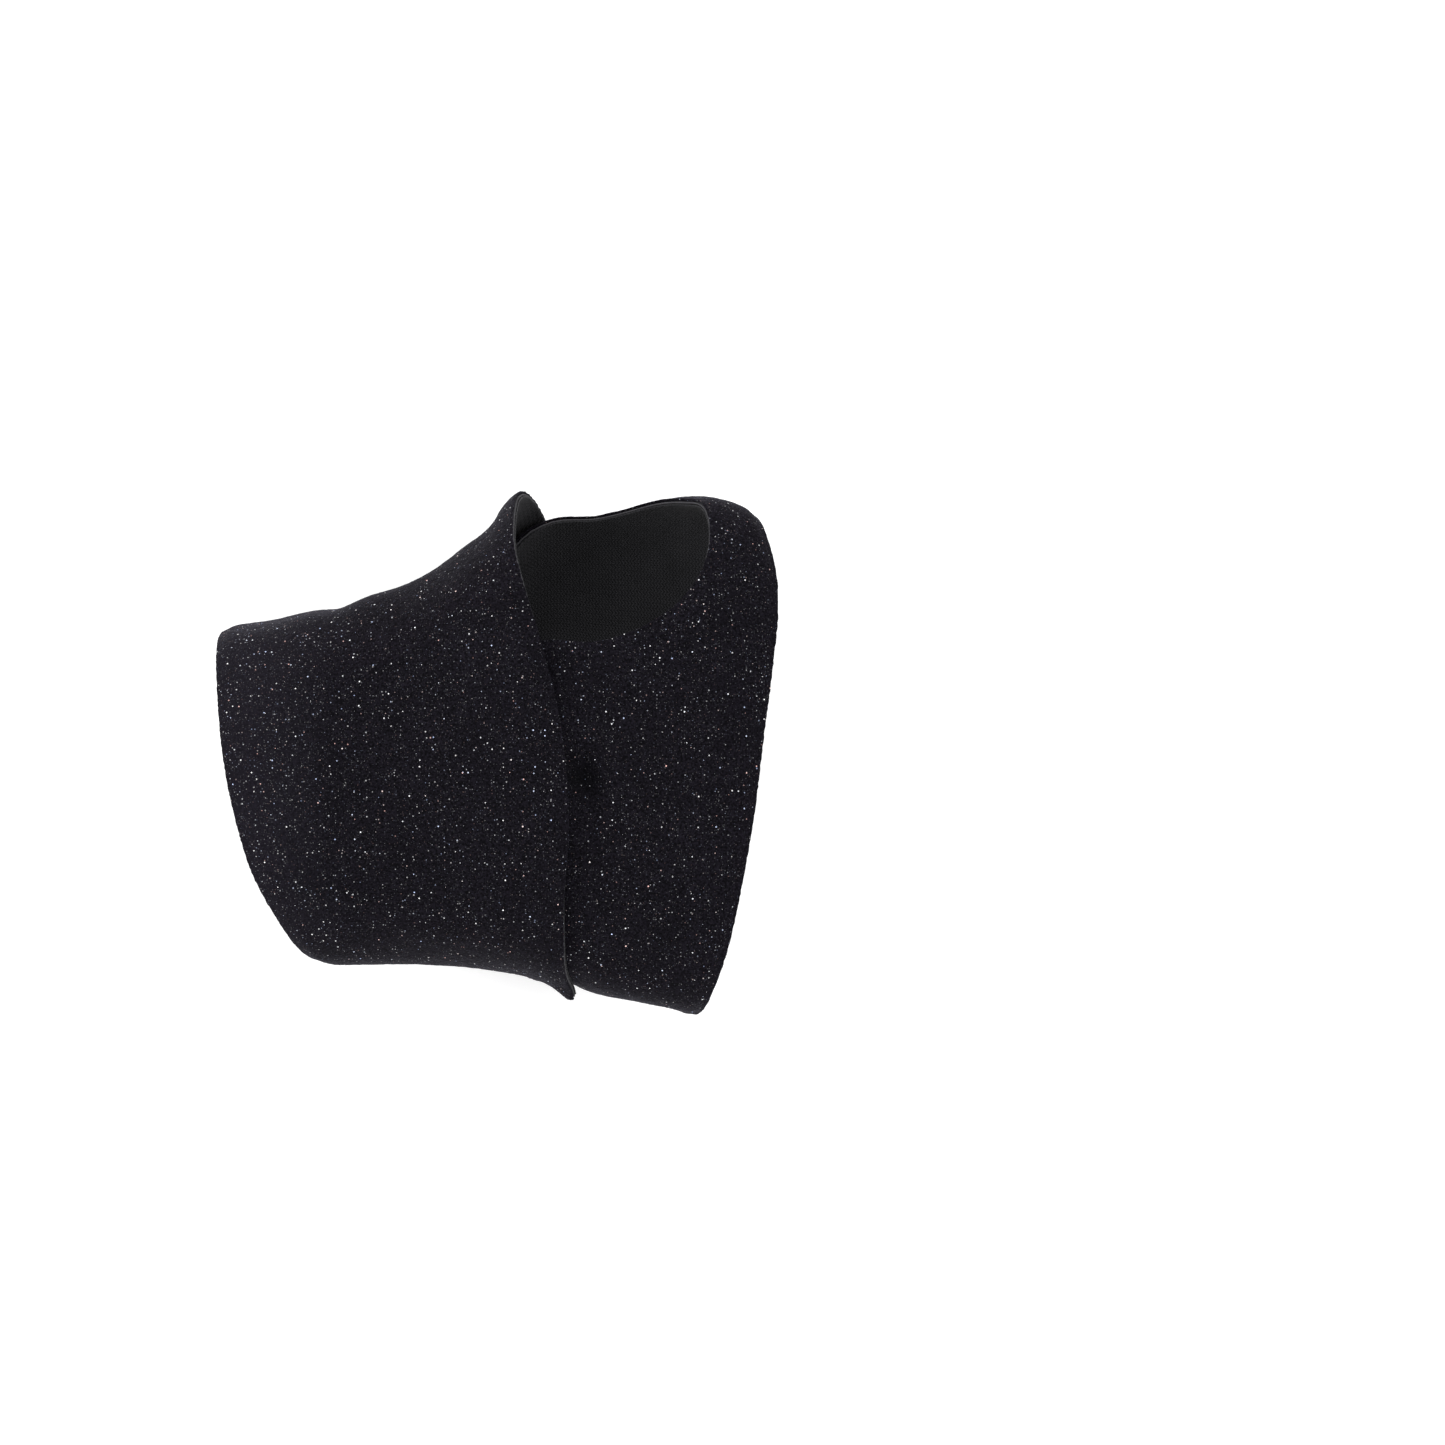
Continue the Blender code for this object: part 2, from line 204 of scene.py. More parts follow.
def hand_section(x):
    """The hand's outline at x, as rows (y, z) evenly spaced from the thumb side over the palm."""
    radial, ulnar = smooth_curve(RADIAL_SIDE, x), smooth_curve(ULNAR_SIDE, x)
    depth = smooth_curve(HAND_DEPTH, x)
    half_width, half_depth = (radial - ulnar) / 2, depth / 2
    angle = np.linspace(0, 2 * np.pi, SECTION_STEPS + 1)
    c, s = np.cos(angle), np.sin(angle)
    power = 2 / np.where(s >= 0, PALM_POWER, BACK_POWER)
    across = np.sign(c) * np.abs(c) ** power
    up = np.abs(s) ** power
    up = np.where(s >= 0, up, -np.minimum(up * BACK_PRESS, 1))
    y = (radial + ulnar) / 2 + half_width * across
    z = BACK_OF_HAND_Z + half_depth + half_depth * up
    run = np.concatenate([[0], np.cumsum(np.hypot(np.diff(y), np.diff(z)))])
    even = np.linspace(0, run[-1], SECTION_STEPS + 1)[:-1]
    return np.stack([np.interp(even, run, y), np.interp(even, run, z)], axis=-1)


TABLE_X = np.arange(-TABLE_END, TABLE_END + TABLE_STEP, TABLE_STEP)
HAND = np.array([hand_section(x) for x in TABLE_X])
GIRTHS = np.linalg.norm(HAND - np.roll(HAND, 1, axis=1), axis=2).sum(axis=1)


def on_hand(turn, x):
    """The point of the hand at each place, as rows (x, y, z)."""
    turn, x = np.broadcast_arrays(np.asarray(turn, float), np.asarray(x, float))
    row = np.clip((x - TABLE_X[0]) / TABLE_STEP, 0, len(TABLE_X) - 1.001)
    column = (turn % 1.0) * SECTION_STEPS
    i, j = row.astype(int), column.astype(int) % SECTION_STEPS
    u, v = (row - i)[..., None], (column - np.floor(column))[..., None]
    k = (j + 1) % SECTION_STEPS
    yz = (HAND[i, j] * (1 - u) + HAND[i + 1, j] * u) * (1 - v)
    yz = yz + (HAND[i, k] * (1 - u) + HAND[i + 1, k] * u) * v
    return np.concatenate([x[..., None], yz], axis=-1)


def hand_normal(turn, x, reach=2.0):
    near = reach / GIRTH
    round_way = on_hand(turn + near, x) - on_hand(turn - near, x)
    along = on_hand(turn, x + reach) - on_hand(turn, x - reach)
    normal = np.cross(round_way, along)
    return normal / np.linalg.norm(normal, axis=-1, keepdims=True)


def off_hand(turn, x, height):
    """The point a height above the hand's surface at each place, in the frame, in millimetres."""
    height = np.asarray(height, float) + drape(turn, x)
    return on_hand(turn, x) + hand_normal(turn, x) * height[..., None] + FRAME_SHIFT


def lift(turn):
    """How far the strip's inner face stands off the hand."""
    second = SECOND_TURN * smooth_step(LIFT_STARTS, LIFT_ENDS, turn)
    end = (FLAP_END_LIFT - SECOND_TURN) * smooth_step(END_LIFT_STARTS, END_LIFT_ENDS, turn)
    return second + end


def hump(turn, x, at_turn, at_x, wide_turn, wide_x):
    """1 at a place on the strip, falling smoothly to 0 round it."""
    return np.exp(-((turn - at_turn) / wide_turn) ** 2 - ((x - at_x) / wide_x) ** 2)


def drape(turn, x):
    """The soft unevenness of the cloth: both turns follow one body, and the flap's corner dips."""
    turn, x = np.broadcast_arrays(np.asarray(turn, float), np.asarray(x, float))
    place = turn % 1.0
    on_back = smooth_step(0.55, 0.63, place) * (1 - smooth_step(0.9, 0.97, place))
    waves = LONG_WAVE * np.sin(x / LONG_WAVE_LENGTH + 14 * np.sin(2 * np.pi * place) + 1.0)
    waves += SHORT_WAVE * np.sin(x / SHORT_WAVE_LENGTH - 9 * np.cos(2 * np.pi * place) + 2.0)
    over_wrist = smooth_step(0.06, 0.14, place) * (1 - smooth_step(0.33, 0.4, place))
    crest = smooth_step(-30, -36, x) * (1 - 0.8 * smooth_step(-38, -54, x))
    waves += WRIST_CREST * over_wrist * crest
    groove = -WRIST_GROOVE * over_wrist * np.exp(-((x - WRIST_GROOVE_X) / WRIST_GROOVE_REACH) ** 2)
    corner = -CORNER_DIP * smooth_step(1.36, 1.44, turn) * smooth_step(9, 15, x)
    humps = sum(height * hump(turn, x, *where) for height, *where in HUMPS)
    return waves * (1 - on_back) + groove + corner + humps


def edge_x(turn, across):
    """x on the strip at a turn, from 0 at the proximal edge to 1 at the distal one."""
    low, high = smooth_curve(PROXIMAL_EDGE, turn), smooth_curve(DISTAL_EDGE, turn)
    return low + (high - low) * across


def fold_turn(line, x):
    """The turn at which a fold line crosses x on the flap's outer face."""
    (x0, y0), (x1, y1) = FOLD_LINES[line]
    y = y0 + (y1 - y0) * (x - x0) / (x1 - x0)
    x = np.full_like(FLAP_TURNS, x)
    outer = (lift(FLAP_TURNS) + LAMINATE)[:, None]
    face = on_hand(FLAP_TURNS, x) + hand_normal(FLAP_TURNS, x) * outer
    return np.interp(-y, -face[:, 1], FLAP_TURNS)


def fold(line):
    """The turn of a fold line at a share of the strip's width."""
    def at(across):
        turn = 1.25
        for _ in range(12):
            turn = fold_turn(line, edge_x(turn, across))
        return turn
    return at


def inner_end(across):
    return INNER_END + INNER_END_CORNER * abs(2 * across - 1) ** INNER_END_SQUARENESS


def back_cut(across):
    return BACK_CUT


def free_end(across):
    return FREE_END - FREE_END_CORNER * abs(2 * across - 1) ** FREE_END_SQUARENESS


def hole_distance(turn, x):
    """1 on the thumb hole's rim, and less inside it."""
    return np.hypot((turn - HOLE_TURN) / HOLE_HALF_TURN, (x - HOLE_X) / HOLE_HALF_LENGTH)


def stretch_places(start, end, cell, start_cut, end_cut, hole):
    """Places on a stretch of strip, dense along its cut edges: (outline loops, inner places)."""
    middle = (start(0.5) + end(0.5)) / 2
    width = edge_x(middle, 1) - edge_x(middle, 0)
    rings = np.array(EDGE_RINGS) / width
    across = np.concatenate([rings, np.linspace(rings[-1] * 2, 1 - rings[-1] * 2,
                                                round(width / cell)), 1 - rings[::-1]])
    starts, ends = np.array([start(v) for v in across]), np.array([end(v) for v in across])
    length = (ends - starts).max() * GIRTH
    rings = np.array(EDGE_RINGS) / length
    first = rings if start_cut else rings[:1]
    last = 1 - (rings[::-1] if end_cut else rings[:1])
    along = np.concatenate([first, np.linspace(max(first[-1] * 2, cell / length),
                                               1 - max((1 - last[0]) * 2, cell / length),
                                               round(length / cell)), last])
    turn = starts + np.outer(along, ends - starts)
    x = edge_x(turn, across)
    n, m = turn.shape
    outline = [(i, 0) for i in range(n)] + [(n - 1, j) for j in range(1, m)]
    outline += [(i, m - 1) for i in range(n - 2, -1, -1)] + [(0, j) for j in range(m - 2, 0, -1)]
    loops = [[(turn[i, j], x[i, j]) for i, j in outline]]
    inside = np.stack([turn[1:-1, 1:-1].ravel(), x[1:-1, 1:-1].ravel()], axis=-1)
    if hole:
        around = round(2 * np.pi * HOLE_HALF_LENGTH / cell)
        for ring in EDGE_RINGS:
            loops.append(hole_ring(ring, around))
        keep = hole_distance(*inside.T) > 1 + (EDGE_RINGS[-1] + 0.6 * cell) / HOLE_HALF_LENGTH
        inside = inside[keep]
    return loops, inside


def hole_ring(inset, count):
    angle = np.linspace(0, 2 * np.pi, count, endpoint=False)
    reach = 1 + inset / HOLE_HALF_LENGTH
    return list(zip(HOLE_TURN + HOLE_HALF_TURN * reach * np.cos(angle),
                    HOLE_X + HOLE_HALF_LENGTH * reach * np.sin(angle)))


def triangulate(loops, inside, hole=False):
    """(places, triangles) of a flat outline with constrained loops and places inside it."""
    points, edges = [], []
    for loop in loops:
        first = len(points)
        points += [Vector((turn * GIRTH, x)) for turn, x in loop]
        edges += [(first + i, first + (i + 1) % len(loop)) for i in range(len(loop))]
    points += [Vector((turn * GIRTH, x)) for turn, x in inside]
    flat, _, faces, *_ = delaunay_2d_cdt(points, edges, [], 1, 1e-5)
    places = np.array([(p.x / GIRTH, p.y) for p in flat])
    triangles = np.array([f for f in faces])
    if hole:
        middles = places[triangles].mean(axis=1)
        triangles = triangles[hole_distance(*middles.T) > 1]
    return places, triangles


def cut_distance(turn, x, start_cut, end_cut, hole):
    """How far each place is from the nearest cut edge, in millimetres."""
    girth = np.interp(x, TABLE_X, GIRTHS)
    low, high = smooth_curve(PROXIMAL_EDGE, turn), smooth_curve(DISTAL_EDGE, turn)
    found = np.minimum(x - low, high - x)
    across = (x - low) / (high - low)
    if start_cut:
        found = np.minimum(found, (turn - inner_end(across)) * girth)
    if end_cut:
        found = np.minimum(found, (free_end(across) - turn) * girth)
    if hole:
        found = np.minimum(found, (hole_distance(turn, x) - 1) * HOLE_HALF_LENGTH)
    return np.maximum(found, 0)


def rounding(distance):
    """The share of a layer's half thickness that is left near a cut edge."""
    t = np.clip(distance / EDGE_ROUNDING, 0, 1)
    return EDGE_RIM + (1 - EDGE_RIM) * np.sqrt(1 - (1 - t) ** 2)


def grain(turn, x):
    """The nap's own unevenness, from -1 to 1, the same at the same place of the cloth."""
    return (np.sin(turn * GIRTH * 12.9898 + x * 78.233) * 43758.5453) % 2.0 - 1.0


def fray(turn, x, distance, cuts):
    """The places with those on the cut edges drawn outwards by the loose ends of the nap."""
    girth = np.interp(x, TABLE_X, GIRTHS)
    near = 0.05
    round_way = (cut_distance(turn - near / girth, x, *cuts)
                 - cut_distance(turn + near / girth, x, *cuts))
    along = cut_distance(turn, x - near, *cuts) - cut_distance(turn, x + near, *cuts)
    out = np.stack([round_way, along], axis=-1)
    out /= np.maximum(np.linalg.norm(out, axis=1, keepdims=True), 1e-9)
    reach = FRAY * np.abs(grain(turn, x)) * (distance < 0.01)
    return turn + out[:, 0] * reach / girth, x + out[:, 1] * reach


def layer_heights(name, foam_left):
    """A layer's lower and upper height in the laminate, where that share of the foam is left."""
    foam_top = LINING + BOND + FOAM * foam_left
    return {
        "lining": (0.0, LINING),
        "foam": (LINING + BOND, foam_top),
        "plush": (foam_top + BOND, foam_top + BOND + PLUSH),
    }[name]


def cloth(name, layer, places, triangles, cuts):
    """A closed sheet of one layer, with its cut edges rounded and its face roughened by the nap."""
    turn, x = places.T
    distance = cut_distance(turn, x, *cuts)
    low, high = layer_heights(layer, PINCH + (1 - PINCH) * smooth_step(0, PINCH_REACH, distance))
    middle = lift(turn) + (low + high) / 2
    half = (high - low) / 2 * rounding(distance)
    rough = 0.0
    if layer == "plush":
        rough = NAP * grain(turn, x)
        turn, x = fray(turn, x, distance, cuts)
    upper = off_hand(turn, x, middle + half + rough)
    lower = off_hand(turn, x, middle - half)
    return closed_mesh(name, np.concatenate([upper, lower]), turn, x, triangles)


def closed_mesh(name, points, turn, x, triangles):
    """An object from two faces of one pattern of triangles, joined all along their rims."""
    ends = np.concatenate([triangles[:, [0, 1]], triangles[:, [1, 2]], triangles[:, [2, 0]]])
    known = {(a, b) for a, b in ends.tolist()}
    rim = [(a, b) for a, b in ends.tolist() if (b, a) not in known]
    count = len(turn)
    faces = triangles.tolist() + (triangles[:, ::-1] + count).tolist()
    faces += [(b, a, a + count, b + count) for a, b in rim]
    mesh = bpy.data.meshes.new(name)
    mesh.from_pydata((points * MM).tolist(), [], faces)
    mesh.update()
    # The flat cloth place, with the painted sheen and painted shade as its third value.
    flat_place_and_painted_light = np.stack([turn * CLOTH_GIRTH * MM, x * MM, painted_sheen_and_shade(turn, x)], axis=-1)
    note_places(mesh, np.concatenate([flat_place_and_painted_light, flat_place_and_painted_light]))
    turn_outward(mesh)
    mesh.shade_smooth()
    mesh.set_sharp_from_angle(angle=math.radians(60))
    obj = bpy.data.objects.new(name, mesh)
    bpy.context.scene.collection.objects.link(obj)
    return obj


def painted_sheen_and_shade(turn, x):
    """Painted light: 1 painted sheen towards the wrist, 0 none, -1 painted shade in the hollow
    beside the flap's edge.
    """
    return smooth_step(*PAINTED_SHEEN_FROM_TO, x) - hump(turn, x, DIMPLE_TURN, DIMPLE_X, 0.015, 3.2)


def note_places(mesh, flat_place_and_painted_light):
    """Stores each point's place at rest, and its place on the flat cloth with the painted light
    there.
    """
    at_rest = np.empty(len(mesh.vertices) * 3, np.float32)
    mesh.vertices.foreach_get("co", at_rest)
    flat_places_and_painted_light = flat_place_and_painted_light.astype(np.float32).ravel()
    for name, values in (("rest_place", at_rest), ("cloth_place_and_painted_light", flat_places_and_painted_light)):
        attribute = mesh.attributes.new(name, "FLOAT_VECTOR", "POINT")
        attribute.data.foreach_set("vector", values)


def turn_outward(mesh):
    work = bmesh.new()
    work.from_mesh(mesh)
    bmesh.ops.recalc_face_normals(work, faces=work.faces)
    if work.calc_volume(signed=True) < 0:
        bmesh.ops.reverse_faces(work, faces=work.faces)
    work.to_mesh(mesh)
    work.free()


CELLS = {"lining": COARSE_CELL, "foam": COARSE_CELL, "plush": FINE_CELL}

# Each visible stretch: its lines, whether its start, its end and its inside are cut, its bodies,
# the CAD stretches that it stands for, and the fold that it crosses.
STRETCHES = {
    "sleeve": (inner_end, back_cut, (True, False, True), "sleeve", None),
    "band": (back_cut, fold(1), (False, False, False), "flap_base", 0),
    "flap_middle": (fold(1), fold(2), (False, False, False), "flap_middle", 1),
    "flap_end": (fold(2), free_end, (False, True, False), "flap_end", 2),
}


def joint(name):
    return next(j for j in frame["record"]["behaviour"]["joints"] if j["name"] == name)


def bend(obj, line):
    """Finds the fold's joint axis and the way across it, which nothing then uses, and bakes the
    piece's place into its mesh.
    """
    found = joint(FOLDS[line])
    axis = np.array(found["axis"])
    across = np.cross(axis, (0, 0, 1))
    across /= np.linalg.norm(across)
    if across[1] > 0:
        across = -across
    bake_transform(obj)


def follow(obj, body, line):
    """Makes a piece ride on its body, or, where it crosses a fold, bakes its place into its mesh.
    """
    if line is None:
        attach(obj, body)
    else:
        bend(obj, line)


def laminate():
    """The three layers of each stretch of the strip."""
    for stretch, (start, end, cuts, body, line) in STRETCHES.items():
        for layer, cell in CELLS.items():
            loops, inside = stretch_places(start, end, cell, *cuts)
            places, triangles = triangulate(loops, inside, cuts[2])
            piece = cloth(f"{stretch}_{layer}_cloth", layer, places, triangles, cuts)
            piece.data.materials.append(MATERIALS[layer])
            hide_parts(f"{body}_{layer}")
            follow(piece, body, line)


def tab_turn(distance, x):
    """The turn of a place on the hook tab, at a distance round the hand from the free end."""
    return FREE_END - distance / np.interp(x, TABLE_X, GIRTHS)


def tab_outline(inset, step):
    """The hook tab's outline, drawn in from its edge, as (distance from the free end, x)."""
    centre = np.array([TAB_FROM_END + TAB_WIDTH / 2, TAB_MIDDLE_X])
    radius = max(TAB_CORNER - inset, 1.0)
    half = np.array([TAB_WIDTH / 2, TAB_LENGTH / 2]) - inset - radius
    points = []
    for quarter, side in enumerate([(1, 1), (-1, 1), (-1, -1), (1, -1)]):
        for a in np.linspace(0, np.pi / 2, 7) + quarter * np.pi / 2:
            points.append(centre + half * side + radius * np.array([np.cos(a), np.sin(a)]))
    points = np.array(points + points[:1])
    run = np.concatenate([[0], np.cumsum(np.linalg.norm(np.diff(points, axis=0), axis=1))])
    even = np.linspace(0, run[-1], round(run[-1] / step) + 1)[:-1]
    return np.stack([np.interp(even, run, column) for column in points.T], axis=-1)


def past_tab_corner(distance, x):
    """How far each place lies past the straight part of the tab: TAB_CORNER at the tab's edge."""
    place = np.stack([distance - TAB_FROM_END - TAB_WIDTH / 2, x - TAB_MIDDLE_X], axis=-1)
    straight = (TAB_WIDTH / 2 - TAB_CORNER, TAB_LENGTH / 2 - TAB_CORNER)
    return np.linalg.norm(np.maximum(np.abs(place) - straight, 0), axis=1)


def hook_tape():
    """The woven tape, with a ribbed selvedge, lying against the flap's lining."""
    rims = [tab_outline(inset, TAPE_MARGIN) for inset in TAPE_RINGS]
    distance, x = np.meshgrid(np.arange(TAPE_MARGIN, TAB_WIDTH - TAPE_CELL, TAPE_CELL),
                              np.arange(TAPE_MARGIN, TAB_LENGTH - TAPE_CELL, TAPE_CELL))
    inside = np.stack([distance.ravel() + TAB_FROM_END,
                       x.ravel() + TAB_MIDDLE_X - TAB_LENGTH / 2], axis=-1)
    inside = inside[past_tab_corner(*inside.T) < TAB_CORNER - TAPE_CELL]
    loops = [[(-d / GIRTH, x) for d, x in rim] for rim in rims]
    places, triangles = triangulate(loops, [(-d / GIRTH, x) for d, x in inside])
    distance, x = -places[:, 0] * GIRTH, places[:, 1]
    from_edge = np.maximum(TAB_CORNER - past_tab_corner(distance, x), 0)
    middle = FLAP_END_LIFT - SEAM - TAPE / 2
    half = TAPE / 2 * rounding(from_edge)
    ribs = RIB_HEIGHT * np.cos(distance * 2 * np.pi / RIB_SPACING) * (from_edge < SELVEDGE)
    turn = tab_turn(distance, x)
    upper = off_hand(turn, x, middle + half)
    lower = off_hand(turn, x, middle - half - ribs)
    tape = closed_mesh("hook_tape_woven", np.concatenate([upper, lower]), turn, x, triangles)
    tape.data.materials.append(MATERIALS["hook_tape"])
    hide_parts("hook_tape")
    bend(tape, 2)
    return tape


def tube(points, radii, sides=6):
    """(points, faces) of a closed tube through the points, with flat ends."""
    points = np.asarray(points, float)
    along = np.gradient(points, axis=0)
    along /= np.linalg.norm(along, axis=1, keepdims=True)
    side = np.cross(along, (0.31, 0.52, 0.79))
    side /= np.linalg.norm(side, axis=1, keepdims=True)
    other = np.cross(along, side)
    angle = np.linspace(0, 2 * np.pi, sides, endpoint=False)
    ring = np.cos(angle)[:, None, None] * side + np.sin(angle)[:, None, None] * other
    rings = (points + ring * np.asarray(radii)[:, None]).transpose(1, 0, 2).reshape(-1, 3)
    faces = [(r * sides + k, r * sides + (k + 1) % sides, (r + 1) * sides + (k + 1) % sides,
              (r + 1) * sides + k) for r in range(len(points) - 1) for k in range(sides)]
    faces += [tuple(range(sides))[::-1], tuple((len(points) - 1) * sides + k for k in range(sides))]
    return rings, faces


def gather(name, tubes, material, node):
    """One object of many small closed tubes, lying on the flap's end."""
    points, faces = [], []
    count = 0
    for ring, these in tubes:
        points.append(ring)
        faces += [tuple(i + count for i in face) for face in these]
        count += len(ring)
    mesh = bpy.data.meshes.new(name)
    mesh.from_pydata((np.concatenate(points) * MM).tolist(), [], faces)
    mesh.update()
    turn_outward(mesh)
    mesh.shade_smooth()
    mesh.set_sharp_from_angle(angle=math.radians(50))
    obj = bpy.data.objects.new(name, mesh)
    bpy.context.scene.collection.objects.link(obj)
    obj.data.materials.append(material)
    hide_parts(node)
    bend(obj, 2)
    return obj


def hook_field():
    """Rows of moulded hooks, each a stem that leans over to a tip, standing on the tape."""
    low, high = tab_outline(SELVEDGE, 1.0).min(axis=0), tab_outline(SELVEDGE, 1.0).max(axis=0)
    base = FLAP_END_LIFT - SEAM - TAPE - 0.02
    random = np.random.default_rng(SEED)
    tubes = []
    for row, distance in enumerate(np.arange(low[0] + 0.5, high[0] - 0.3, HOOK_ROWS)):
        for x in np.arange(low[1] + 0.6, high[1] - 0.5, HOOK_SPACING):
            lean = HOOK_REACH if row % 2 else -HOOK_REACH
            d = distance + random.normal(0, 0.05)
            turn = tab_turn(d + lean * HOOK_BEND[:, 0], x)
            points = off_hand(turn, np.full_like(turn, x), base - HOOK_BEND[:, 1])
            tubes.append(tube(points, HOOK_RADII, 5))
    return gather("hook_field_hooks", tubes, MATERIALS["hooks"], "hook_field")


def tab_stitching():
    """The seam round the selvedge: one raised stitch after another, each sinking at its ends."""
    outline = tab_outline(SELVEDGE / 2, STITCH_STEP)
    face = FLAP_END_LIFT - SEAM - TAPE
    tubes = []
    for start, end in zip(outline, np.roll(outline, -1, axis=0)):
        share = np.linspace(0.06, 0.94, len(STITCH_TAPER))
        distance, x = (start + (end - start) * share[:, None]).T
        rise = THREAD * 0.55 * np.sin(np.pi * (share - 0.06) / 0.88) ** 0.5
        points = off_hand(tab_turn(distance, x), x, face + THREAD * 0.15 - rise)
        tubes.append(tube(points, THREAD / 2 * STITCH_TAPER, 8))
    return gather("tab_stitching_thread", tubes, MATERIALS["thread"], "tab_stitching")


def hook_tab():
    """The hook tape with its hooks and its seam."""
    tape = hook_tape()
    hooks = hook_field()
    thread = tab_stitching()


def new_material(name):
    material = bpy.data.materials.new(name)
    material.use_nodes = True
    tree = material.node_tree
    return material, tree, tree.nodes["Principled BSDF"]


def add_node(tree, kind, inputs=(), **settings):
    node = tree.nodes.new(kind)
    for key, value in settings.items():
        setattr(node, key, value)
    for key, value in dict(inputs).items():
        if isinstance(value, bpy.types.NodeSocket):
            tree.links.new(value, node.inputs[key])
        else:
            node.inputs[key].default_value = value
    return node


def maths(tree, operation, a, b=0.0):
    return add_node(tree, "ShaderNodeMath", {0: a, 1: b}, operation=operation).outputs[0]


def object_place(tree):
    return add_node(tree, "ShaderNodeTexCoord").outputs["Object"]


def noise(tree, place, size_mm, detail=2.0):
    node = add_node(tree, "ShaderNodeTexNoise", {"Vector": place, "Scale": 1 / (size_mm * MM),
                                                 "Detail": detail})
    return node.outputs["Fac"]


def ramp(tree, value, stops):
    node = add_node(tree, "ShaderNodeValToRGB", {0: value})
    band = node.color_ramp
    while len(band.elements) < len(stops):
        band.elements.new(0.5)
    for element, (position, colour) in zip(band.elements, stops):
        element.position = position
        element.color = (*colour, 1)
    return node.outputs["Color"]


def mix(tree, share, a, b):
    node = tree.nodes.new("ShaderNodeMix")
    node.data_type = "RGBA"
    for socket, value in ((node.inputs["Factor"], share), (node.inputs[6], a), (node.inputs[7], b)):
        if isinstance(value, bpy.types.NodeSocket):
            tree.links.new(value, socket)
        else:
            socket.default_value = value if isinstance(value, float) else (*value, 1)
    return node.outputs[2]


def bump(tree, height, distance_mm, strength=1.0, onto=None):
    inputs = {"Height": height, "Distance": distance_mm * MM, "Strength": strength}
    if onto is not None:
        inputs["Normal"] = onto
    return add_node(tree, "ShaderNodeBump", inputs).outputs["Normal"]


def stored_place(tree, name):
    node = add_node(tree, "ShaderNodeAttribute")
    node.attribute_name = name
    return node.outputs["Vector"]


def painted_glints(tree, place, cell_mm, radius, share, power):
    """Painted glints: (mask, strength, tint) of small bright dots scattered one to a cell."""
    cells = add_node(tree, "ShaderNodeTexVoronoi", {"Vector": place, "Scale": 1 / (cell_mm * MM)})
    random = add_node(tree, "ShaderNodeSeparateColor", {"Color": cells.outputs["Color"]})
    near = maths(tree, "LESS_THAN", cells.outputs["Distance"], radius)
    chosen = maths(tree, "LESS_THAN", random.outputs["Red"], share)
    strength = maths(tree, "POWER", random.outputs["Green"], power)
    return maths(tree, "MULTIPLY", near, chosen), strength, random.outputs["Blue"]


# Painted glints in the nap, from fine to coarse: cell in mm, radius in cells, share of cells that
# hold a painted glint, the power that makes bright glints rare, and the brightest colour.
PAINTED_GLINTS = [
    (0.33, 0.29, 0.55, 2.2, 0.075),
    (0.62, 0.185, 0.50, 2.3, 0.42),
    (1.2, 0.122, 0.55, 1.7, 1.0),
]
PAINTED_GLINT_TINTS = [(0.0, (0.55, 0.66, 1.0)), (0.3, (0.93, 0.96, 1.0)), (0.8, (1.0, 0.98, 0.97)),
                 (0.97, (1.0, 0.60, 0.55))]
DULL_PAINTED_GLINT = (0.008, 0.0075, 0.010)

# The nap's colours: its own, between its fibres, the painted sheen towards the wrist, and the
# painted shade in the hollow beside the flap's edge.
NAP_TONES = [(0.35, (0.0068, 0.0057, 0.0090)), (0.7, (0.0098, 0.0083, 0.0130))]
NAP_GAPS = (0.0012, 0.0009, 0.0018)
PAINTED_SHEEN_NAP, PAINTED_SHEEN_SHARE = (0.0180, 0.0160, 0.0230), 0.26
PAINTED_SHADE_NAP, PAINTED_SHADE_SHARE = (0.0012, 0.0012, 0.0016), 0.7


